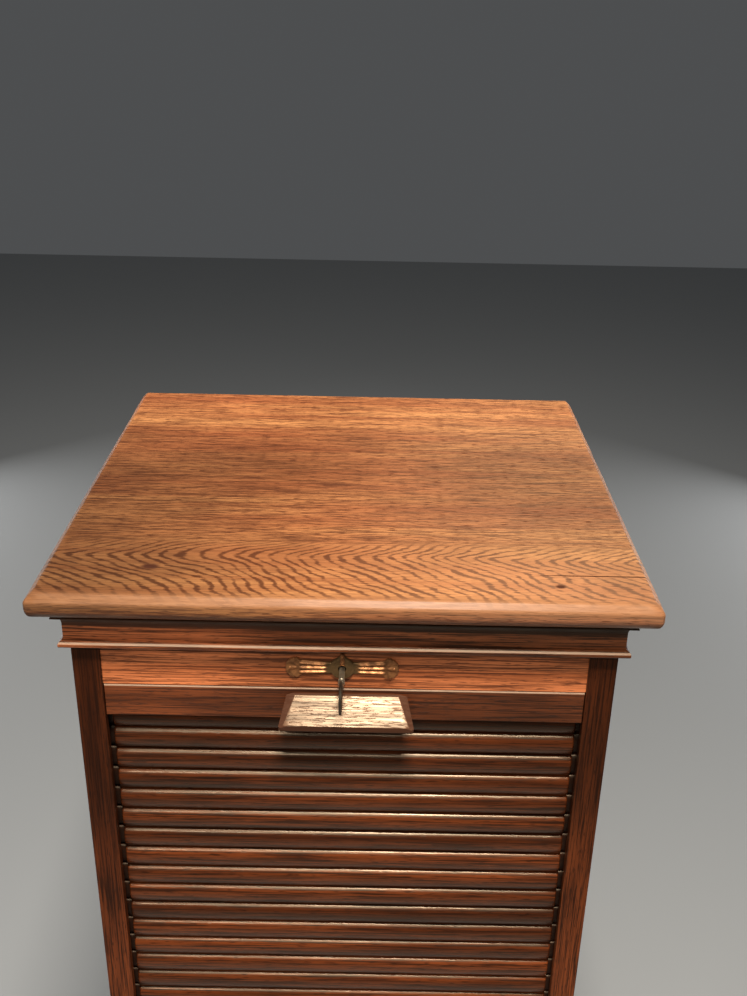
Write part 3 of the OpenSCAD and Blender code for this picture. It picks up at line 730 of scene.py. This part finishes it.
def crack_rings():
    """A wedge that widens from the crack's tip to the board's right edge, and wanders a little."""
    steps = 8
    rings = []
    for i in range(steps + 1):
        share = i / steps
        x = top_high.x - CRACK_LENGTH + (CRACK_LENGTH + 0.004) * share
        y = top_low.y + CRACK_BEHIND_FRONT + noise.noise(Vector((x * 60, 0, 0))) * 0.0006
        half = CRACK_WIDTH / 2 * (0.15 + 0.85 * share)
        rings.append([(x, y - half, TOP + 0.002), (x, y + half, TOP + 0.002), (x, y, TOP - CRACK_DEPTH)])
    return rings


def make_top_board():
    profile = nosing_profile()
    path = top_path()
    points, faces = [], []
    for place, out in path:
        for inset, z in profile:
            x, y = mitre(place, out, inset)
            rubbed = wobble((x, y, z), EDGE_WEAR, WEAR_LENGTH)
            at_back = abs(y - top_high.y) < 1e-6
            flat = inset > NOSING_INSET - 0.0001 or at_back or z < TOP - 0.014
            points.append((x, y, z) if flat else (rubbed.x, rubbed.y, min(rubbed.z, TOP)))
    count = len(profile)
    for j in range(len(path) - 1):
        for k in range(count - 1):
            a, b = j * count + k, (j + 1) * count + k
            faces.append((a, b, b + 1, a + 1))
    last = (len(path) - 1) * count
    faces.append(tuple(j * count for j in range(len(path))))
    faces.append(tuple(j * count + count - 1 for j in range(len(path))))
    faces.append(tuple(range(count)) + tuple(last + k for k in reversed(range(count))))
    board = piece("oak_top_board", points, faces, "oak_top", "oak_top", "carcass", ["top_board"])
    carve(board, *loft(crack_rings()))
    keep_flats_flat(board)


# ---------------------------------------------------------------- mouldings
MOULDING_WEAR = 0.00018


def cornice_profile():
    """(out, z) round the cornice section, anticlockwise from its lower inner corner."""
    base = cornice_low.z
    top = cornice_high.z
    lip, frieze, bed = 0.008, 0.004, 0.011
    outline = [(0, base), (0.0062, base)]
    outline += [(x, base + y) for x, y in arc((0.0062, 0.0018), 0.0018, -90, 0, 4)]
    outline += [(lip, base + 0.0034), (lip - 0.0003, base + 0.0041), (lip - 0.0019, base + 0.0060)]
    outline += [(lip - 0.0026, base + 0.0064), (frieze + 0.0002, base + 0.0069), (frieze, base + 0.0085)]
    outline += [(frieze, base + 0.021)]
    outline += [(x, base + y) for x, y in arc((bed, 0.022), 0.007, 180, 90, 7)]
    outline += [(bed, base + 0.0300), (bed - 0.0006, base + 0.0306), (bed, top), (0, top)]
    return outline


def plinth_profile():
    """(out, z) round the plinth section: a flat board with an ovolo and a small step on its upper edge."""
    out, top = 0.012, PLINTH_TOP
    step = out - 0.0012
    outline = [(0, 0), (out, 0), (out, top - 0.0125), (step, top - 0.0118), (step, top - 0.0090)]
    outline += [(x, top + y) for x, y in arc((0.0038, -0.0085), (0.0070, 0.0085), 0, 90, 8)]
    outline += [(0, top)]
    return outline


def moulding(name, profile, side, look, slot, node):
    """A length of moulding with mitred corners: side is 0 for the front, or -1 or 1 for the ends."""
    stations = 40
    rings = []
    for i in range(stations + 1):
        share = i / stations
        ring = []
        for out, z in profile:
            if side == 0:
                point = (-(HALF_W + out) + 2 * (HALF_W + out) * share, FRONT - out, z)
            else:
                point = (side * (HALF_W + out), FRONT - out + (BACK - FRONT + out) * share, z)
            inner = out < 0.0005 or i in (0, stations) or z < 0.001
            ring.append(point if inner else tuple(wobble(point, MOULDING_WEAR, WEAR_LENGTH)))
        rings.append(ring)
    return piece(name, *loft(rings), look, slot, "carcass", [node])


def make_mouldings():
    cornice = cornice_profile()
    plinth = plinth_profile()
    for side, tail, kind in ((0, "front", ""), (-1, "left", "_side"), (1, "right", "_side")):
        moulding(f"cornice_moulding_{tail}", cornice, side, "oak_dark" + kind, "oak_dark", f"cornice_{tail}")
        moulding(f"plinth_board_{tail}", plinth, side, "oak_across" + kind, "oak", f"plinth_{tail}")


# ---------------------------------------------------------------- slats and canvas
SLAT_PITCH = 0.0221
FIRST_SLAT = 0.020
SLAT_GAP = 0.0008
SLATS_PER_NODE = 3
SLAT_NODES = 14
SLAT_SHAPE = 2.25
SLAT_BACK_FLAT = 0.0012
SLAT_STATIONS = 36
SLAT_SHOULDER = 0.0025
SLAT_ROUND = 0.0020
SLAT_LIFT = 0.00035
SLAT_WEAR = 0.00016
TONGUE_T = 0.004
TONGUE_IN = 0.001


def slat_ring(x, low, high, front, back, seed):
    """One section: flat back, and a front that is rounder at its shoulders than a half circle."""
    mid, half = (low + high) / 2, (high - low) / 2
    depth = back - front - SLAT_BACK_FLAT
    lift = noise.noise(Vector((x * 7, seed, 0))) * SLAT_LIFT
    ring = []
    steps = 16
    for i in range(steps + 1):
        t = math.radians(-90 + 180 * i / steps)
        s, c = math.sin(t), math.cos(t)
        z = mid + math.copysign(abs(s) ** (2 / SLAT_SHAPE), s) * half
        y = back - SLAT_BACK_FLAT - abs(c) ** (2 / SLAT_SHAPE) * depth
        rubbed = abs(noise.noise(Vector((x * 30, seed + z * 90, 3)))) * SLAT_WEAR * abs(c)
        ring.append((x, y + rubbed, z + lift * abs(c)))
    ring += [(x, back, high), (x, back, low)]
    return ring


def slat_plan(left, right, depth):
    """(x, depth, drop) along a slat: thin tongues in the grooves, then rounded shoulders, then full size."""
    face = OPEN_HALF - SLAT_SHOULDER
    half = []
    for i in range(7):
        t = math.radians(90 * i / 6)
        share = math.sin(t)
        inward = SLAT_ROUND * (1 - math.cos(t))
        half.append((face - inward, TONGUE_T + (depth - TONGUE_T) * share, TONGUE_IN * (1 - share)))
    plan = [(left, TONGUE_T, TONGUE_IN), (-face - 0.0001, TONGUE_T, TONGUE_IN)]
    plan += [(-x, d, z) for x, d, z in half]
    start = -face + SLAT_ROUND
    plan += [(start - 2 * start * i / SLAT_STATIONS, depth, 0) for i in range(1, SLAT_STATIONS)]
    plan += [(x, d, z) for x, d, z in reversed(half)]
    plan += [(face + 0.0001, TONGUE_T, TONGUE_IN), (right, TONGUE_T, TONGUE_IN)]
    return plan


def make_slats():
    joint = next(j for j in frame["joints"] if j["name"] == "shutter_slide")
    travel = joint["range_m"][1]
    low0, high0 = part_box("slats_01")
    curtain_top = high0.z
    foot = canvas_low.z
    keep = 1 - travel / (rail_low.z - foot)
    seam = curtain_top
    for k in range(SLATS_PER_NODE * SLAT_NODES):
        height = FIRST_SLAT if k == 0 else SLAT_PITCH
        low, high = seam - height + SLAT_GAP, seam
        seam -= height
        rings = [slat_ring(x, low + drop, high - drop, high0.y - depth, high0.y, k * 3.1)
                 for x, depth, drop in slat_plan(low0.x, high0.x, high0.y - low0.y)]
        node = f"slats_{k // SLATS_PER_NODE + 1:02d}"
        slat = piece(f"slat_{k + 1:02d}", *loft(rings), "oak_slat", "oak_slat", "carcass", [node])
        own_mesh(slat)
    return foot, keep


def make_canvas():
    """The cloth that holds the slats together, drawn in slightly at each joint between slats."""
    rows = SLATS_PER_NODE * SLAT_NODES * 6
    rings = []
    for i in range(rows + 1):
        z = canvas_low.z + (canvas_high.z - canvas_low.z) * i / rows
        pucker = 0.00012 * math.cos(2 * math.pi * (canvas_high.z - z) / SLAT_PITCH)
        front, back = canvas_low.y + 0.0001, canvas_high.y - 0.00012 + pucker
        rings.append([(canvas_low.x, front, z), (canvas_high.x, front, z),
                      (canvas_high.x, back, z), (canvas_low.x, back, z)])
    cloth = piece("canvas_backing", *loft(rings), "canvas", "canvas", "carcass", ["canvas"])
    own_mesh(cloth)


# ---------------------------------------------------------------- pull
PULL_TAPER = 0.006
PULL_LIP = 0.009
PULL_ROUND = 0.0012
CHEEK_IN = 0.006
CHEEK_SLOPE = Vector((0.236, -0.592, 0.771))
HOLLOW_R = 0.008


def cut_solid(work, point, normal):
    """Keeps the part of a convex solid behind a plane, and closes the cut."""
    everything = list(work.verts) + list(work.edges) + list(work.faces)
    bmesh.ops.bisect_plane(work, geom=everything, plane_co=point, plane_no=normal, clear_outer=True)
    rim = [e for e in work.edges if e.is_boundary]
    if rim:
        bmesh.ops.edgeloop_fill(work, edges=rim)


def pull_block():
    """The pull without its hollow: a sloping block with chamfered cheeks and a rounded front lip."""
    front, back = pull_low.y, pull_high.y
    low, high = pull_low.z, pull_high.z
    half_front = (pull_high.x - pull_low.x) / 2
    half_back = half_front - PULL_TAPER
    top_edge = Vector((PULL_MIDDLE, back, high))
    work = bmesh.new()
    bmesh.ops.create_cube(work, size=1)
    size = Vector((2 * half_front + 0.02, back - front, high - low))
    middle = Vector((PULL_MIDDLE, (front + back) / 2, (low + high) / 2))
    for v in work.verts:
        v.co = v.co * size + middle
    slope = Vector((0, low + PULL_LIP - high, back - front - 0.0015))
    cut_solid(work, top_edge, slope.normalized())
    cut_solid(work, Vector((PULL_MIDDLE, back, low + 0.0045)), Vector((0, 0.22, -1)).normalized())
    cut_solid(work, Vector((PULL_MIDDLE, front, low + 0.003)), Vector((0, -1, -1)).normalized())
    for s in (-1, 1):
        side = Vector((s, 1, 1))
        end = Vector((PULL_MIDDLE + s * half_back, back, low))
        corner = Vector((PULL_MIDDLE + s * half_front, front, low))
        cut_solid(work, end, Vector((back - front, PULL_TAPER, 0)).normalized() * side)
        cut_solid(work, top_edge + Vector((s * (half_back - CHEEK_IN), 0, 0)), CHEEK_SLOPE * side)
        cut_solid(work, corner - Vector((s * 0.003, 0, 0)), Vector((s, 0, -1)).normalized())
        cut_solid(work, corner - Vector((s * 0.002, 0, 0)), Vector((s, -1, 0)).normalized())
    rims = [e for e in work.edges if min(v.co.y for v in e.verts) < back - 0.001]
    bmesh.ops.bevel(work, geom=rims, offset=PULL_ROUND, segments=4, profile=0.5, affect="EDGES",
                    clamp_overlap=True)
    work.verts.index_update()
    points = [tuple(v.co) for v in work.verts]
    faces = [tuple(v.index for v in f.verts) for f in work.faces]
    work.free()
    return points, faces


def finger_hollow():
    """A round-ended trough along the pull's underside."""
    middle_y = (pull_low.y + pull_high.y) / 2
    half_length = (pull_high.x - pull_low.x) / 2 - PULL_TAPER - 0.009
    rings = []
    for i in range(-12, 13):
        share = i / 12
        r = HOLLOW_R * max(0.05, math.sqrt(max(1 - abs(share) ** 6, 0)))
        x = PULL_MIDDLE + half_length * share
        rings.append([(x, middle_y + a, pull_low.z + 0.003 + b) for a, b in circle(r, 24)])
    return loft(rings)


def make_pull():
    pull = piece("oak_pull", *pull_block(), "oak_pull", "oak_pull", "shutter", ["pull_handle"])
    carve(pull, *finger_hollow())
    keep_flats_flat(pull)


# ---------------------------------------------------------------- escutcheon, pins and key
PLATE_T = 0.0016
PLATE_HALF = (plate_high.x - plate_low.x) / 2
BOSS_R = 0.0105
ARM_START = 0.012
ARM_END = 0.0365
ARM_HALF = 0.0058
END_X = 0.0385
END_HALF = 0.0102
PIN_X = 0.043
RIB_PITCH = 0.0036
RIB_HEIGHT = 0.0008


def plate_half_height(x, upper):
    """Half the plate's height at a distance x from the lock: boss, ribbed arms and fanned ends."""
    a = abs(x)
    boss = math.sqrt(max(BOSS_R ** 2 - a ** 2, 0))
    arm, end = 0, 0
    if a < END_X:
        waist = rise(a, 0.033, END_X)
        arm = ARM_HALF + 0.0016 * rise(a, ARM_START, 0.034) + 0.0029 * waist * waist * (3 - 2 * waist)
    else:
        lobes = 1 - 0.07 * (0.5 + 0.5 * math.cos((a - END_X) * 2100))
        end = END_HALF * math.sqrt(max(1 - ((a - END_X) / (PLATE_HALF - END_X)) ** 2, 0)) * lobes
    finial = 0.0042 * math.exp(-((a / 0.0022) ** 2)) if upper else 0.0012 * math.exp(-((a / 0.003) ** 2))
    return max(boss, arm, end, 0.0004) + finial


def plate_height(x, z, rim):
    """How far the plate's face stands out at a point: rim runs from 0 at the edge to 1 in the middle."""
    a = abs(x)
    r = math.hypot(x, z)
    base = PLATE_T * (1 - (1 - min(rim * 6, 1)) ** 2)
    arm = rise(a, ARM_START, ARM_START + 0.003) * rise(a, ARM_END, ARM_END - 0.003)
    fan_out = RIB_PITCH + 0.0009 * rise(a, ARM_START, 0.036)
    ribs = RIB_HEIGHT * arm * math.cos(2 * math.pi * z / fan_out) * min(rim * 3, 1)
    fan = rise(a, ARM_END, ARM_END + 0.002)
    petals = 0.0005 * fan * math.cos(7 * math.atan2(z, a - 0.034)) * min(rim * 4, 1)
    crown = 0.0010 * math.sqrt(max(1 - (r / 0.0088) ** 2, 0))
    ring = 0.0005 * math.exp(-(((r - 0.0094) / 0.0008) ** 2))
    bar = 0.0018 * math.exp(-((x / 0.0018) ** 4)) * rise(z, 0.0040, 0.0052)
    return base + ribs + petals + crown + ring + bar


def plate_grid(columns, rows):
    """Front and back points of the plate, column by column from its left end."""
    front_points, back_points = [], []
    for i in range(columns + 1):
        x = -PLATE_HALF + 2 * PLATE_HALF * i / columns
        up, down = plate_half_height(x, True), plate_half_height(x, False)
        for j in range(rows + 1):
            share = -1 + 2 * j / rows
            half = up if share > 0 else down
            z = share * half
            rim = max(min((1 - abs(share)) * half, PLATE_HALF - abs(x)) / 0.007, 0)
            front_points.append((LOCK_X + x, RAIL_Y - plate_height(x, z, rim) - 0.0001, LOCK_Z + z))
            back_points.append((LOCK_X + x, RAIL_Y, LOCK_Z + z))
    return front_points + back_points


def make_escutcheon():
    columns, rows = 190, 38
    points = plate_grid(columns, rows)
    side = rows + 1
    offset = len(points) // 2
    faces = []
    for i in range(columns):
        for j in range(rows):
            a = i * side + j
            faces.append((a, a + 1, a + side + 1, a + side))
            faces.append((offset + a, offset + a + side, offset + a + side + 1, offset + a + 1))
        for j in (0, rows):
            a = i * side + j
            faces.append((a, a + side, offset + a + side, offset + a))
    for i in (0, columns):
        for j in range(rows):
            a = i * side + j
            faces.append((a, offset + a, offset + a + 1, a + 1))
    plate = piece("brass_escutcheon", points, faces, "brass", "brass", "carcass", ["escutcheon"])
    keyhole = arc((0, 0), 0.0034, -60, 240, 20) + [(-0.0016, -0.0063), (0.0016, -0.0063)]
    rings = [[(LOCK_X + x, y, LOCK_Z + z) for x, z in keyhole] for y in (RAIL_Y - 0.006, RAIL_Y + 0.004)]
    carve(plate, *loft(rings))


def lathe_y(stations, x, z, sides):
    """A turned shape about a line along Y: stations are (y, radius)."""
    return loft([[(x + a, y, z + b) for a, b in circle(r, sides)] for y, r in stations])


def dome(x, y, z, radius, height):
    """A round pin head that faces -Y."""
    angles = [math.radians(18 * i) for i in range(6)]
    stations = [(y - height * math.sin(t), max(radius * math.cos(t), 0.00004)) for t in angles]
    return lathe_y(stations, x, z, 18)


def make_plate_pins():
    heads = [dome(LOCK_X + s * PIN_X, RAIL_Y - PLATE_T + 0.0003, LOCK_Z, 0.0016, 0.0013) for s in (-1, 1)]
    piece("brass_plate_pins", *joined(*heads), "brass", "brass", "carcass", ["escutcheon_pins"])


# The key's shank from its tip to its bow: (distance behind the collar's back, radius)
KEY_TURNING = [(0.0030, 0.0023), (0.0022, 0.0027), (0.0014, 0.0027), (0.0008, 0.0023), (0, 0.0024),
               (-0.0006, 0.0028), (-0.0022, 0.0029), (-0.0030, 0.0026), (-0.0038, 0.0022),
               (-0.0070, 0.0019), (-0.0085, 0.0023), (-0.0095, 0.0020)]
COLLAR_BEFORE_RAIL = 0.021
BOW_WALL = 0.0042
BOW_HALF_T = 0.0012


def key_bow(front, end):
    """A flat oval ring whose plane is upright, pinched a little at its outer end."""
    half_h = (key_high.z - key_low.z) / 2
    a, b = (front - end) / 2 - BOW_WALL / 2, half_h - BOW_WALL / 2
    centre = (front + end) / 2
    steps = 56
    section = arc((0, 0), (BOW_WALL / 2, BOW_HALF_T), 0, 330, 11)
    count = len(section)
    points, faces = [], []
    for i in range(steps):
        t = 2 * math.pi * i / steps
        pinch = 1 - 0.10 * math.exp(-((abs(t - math.pi) / 0.35) ** 2))
        for across, side in section:
            y = centre + (a + across) * math.cos(t) * pinch
            points.append((LOCK_X + side, y, LOCK_Z + (b + across) * math.sin(t)))
        for j in range(count):
            p, q = i * count, ((i + 1) % steps) * count
            faces.append((p + j, p + (j + 1) % count, q + (j + 1) % count, q + j))
    return points, faces


def make_key():
    """A lever key: turned shank and collar, a bit, and an oval bow."""
    tip = key_high.y
    collar = RAIL_Y - COLLAR_BEFORE_RAIL
    shank = [(tip, 0.0016), (tip - 0.001, 0.0023)] + [(collar + y, r) for y, r in KEY_TURNING]
    bow = key_bow(collar - 0.0085, key_low.y)
    bit_low = (LOCK_X - 0.001, tip - 0.008, LOCK_Z - 0.0055)
    bit_high = (LOCK_X + 0.001, tip - 0.0012, LOCK_Z - 0.001)
    shape = joined(lathe_y(shank, LOCK_X, LOCK_Z, 28), bow, box_shape(bit_low, bit_high))
    piece("cabinet_key", *shape, "key_metal", "key_metal", "key", ["key"])


# ---------------------------------------------------------------- CAD nodes that stay
KEPT_LOOKS = {
    "oak": ["side_left", "side_right"],
    "oak_across": ["top_rail", "floor_board"],
    "oak_rail": ["lock_rail"],
    "oak_lead": ["lead_rail"],
    "inner_wood": ["sub_top", "base_board", "shelf_cleats_left", "shelf_cleats_right"]
    + [f"shelf_{i}" for i in range(1, 9)],
    "inner_wood_up": ["back_panel", "inner_back"],
    "brass": ["lock_barrel", "strike_plate", "strike_screws"],
    "steel": ["top_screws", "back_pins", "lock_case", "lock_cover", "lock_screws", "hook_left", "hook_right",
              "hook_pivots", "pull_screws"],
}
EDGE_ROUND = {"side_left": 0.0026, "side_right": 0.0026, "lock_rail": 0.0008, "lead_rail": 0.0015,
              "top_rail": 0.0006, "floor_board": 0.0012}


def soften(obj, width):
    """Rounds the sharp edges of a CAD node with modifiers, which leave its mesh as it is."""
    weld = obj.modifiers.new("weld", "WELD")
    weld.merge_threshold = 0.00001
    bevel = obj.modifiers.new("bevel", "BEVEL")
    bevel.width = width
    bevel.segments = 3
    bevel.limit_method = "ANGLE"
    bevel.angle_limit = math.radians(50)
    bevel.harden_normals = True


def dress_frame():
    for look, nodes in KEPT_LOOKS.items():
        for name in nodes:
            obj = frame["nodes"][name]
            obj.data.materials.clear()
            obj.data.materials.append(materials[look])
            width = EDGE_ROUND.get(name, 0.0005 if look.startswith("inner") else 0)
            if width:
                soften(obj, width)


# ---------------------------------------------------------------- build
# Without a seed, the wobble of the worn edges would start from the clock and differ from run to run
noise.seed_set(WEAR_SEED)
make_camera()
make_studio()
make_floor()
materials = make_materials()
dress_frame()
make_top_board()
make_mouldings()
slat_foot, slat_keep = make_slats()
make_canvas()
make_pull()
make_escutcheon()
make_plate_pins()
make_key()
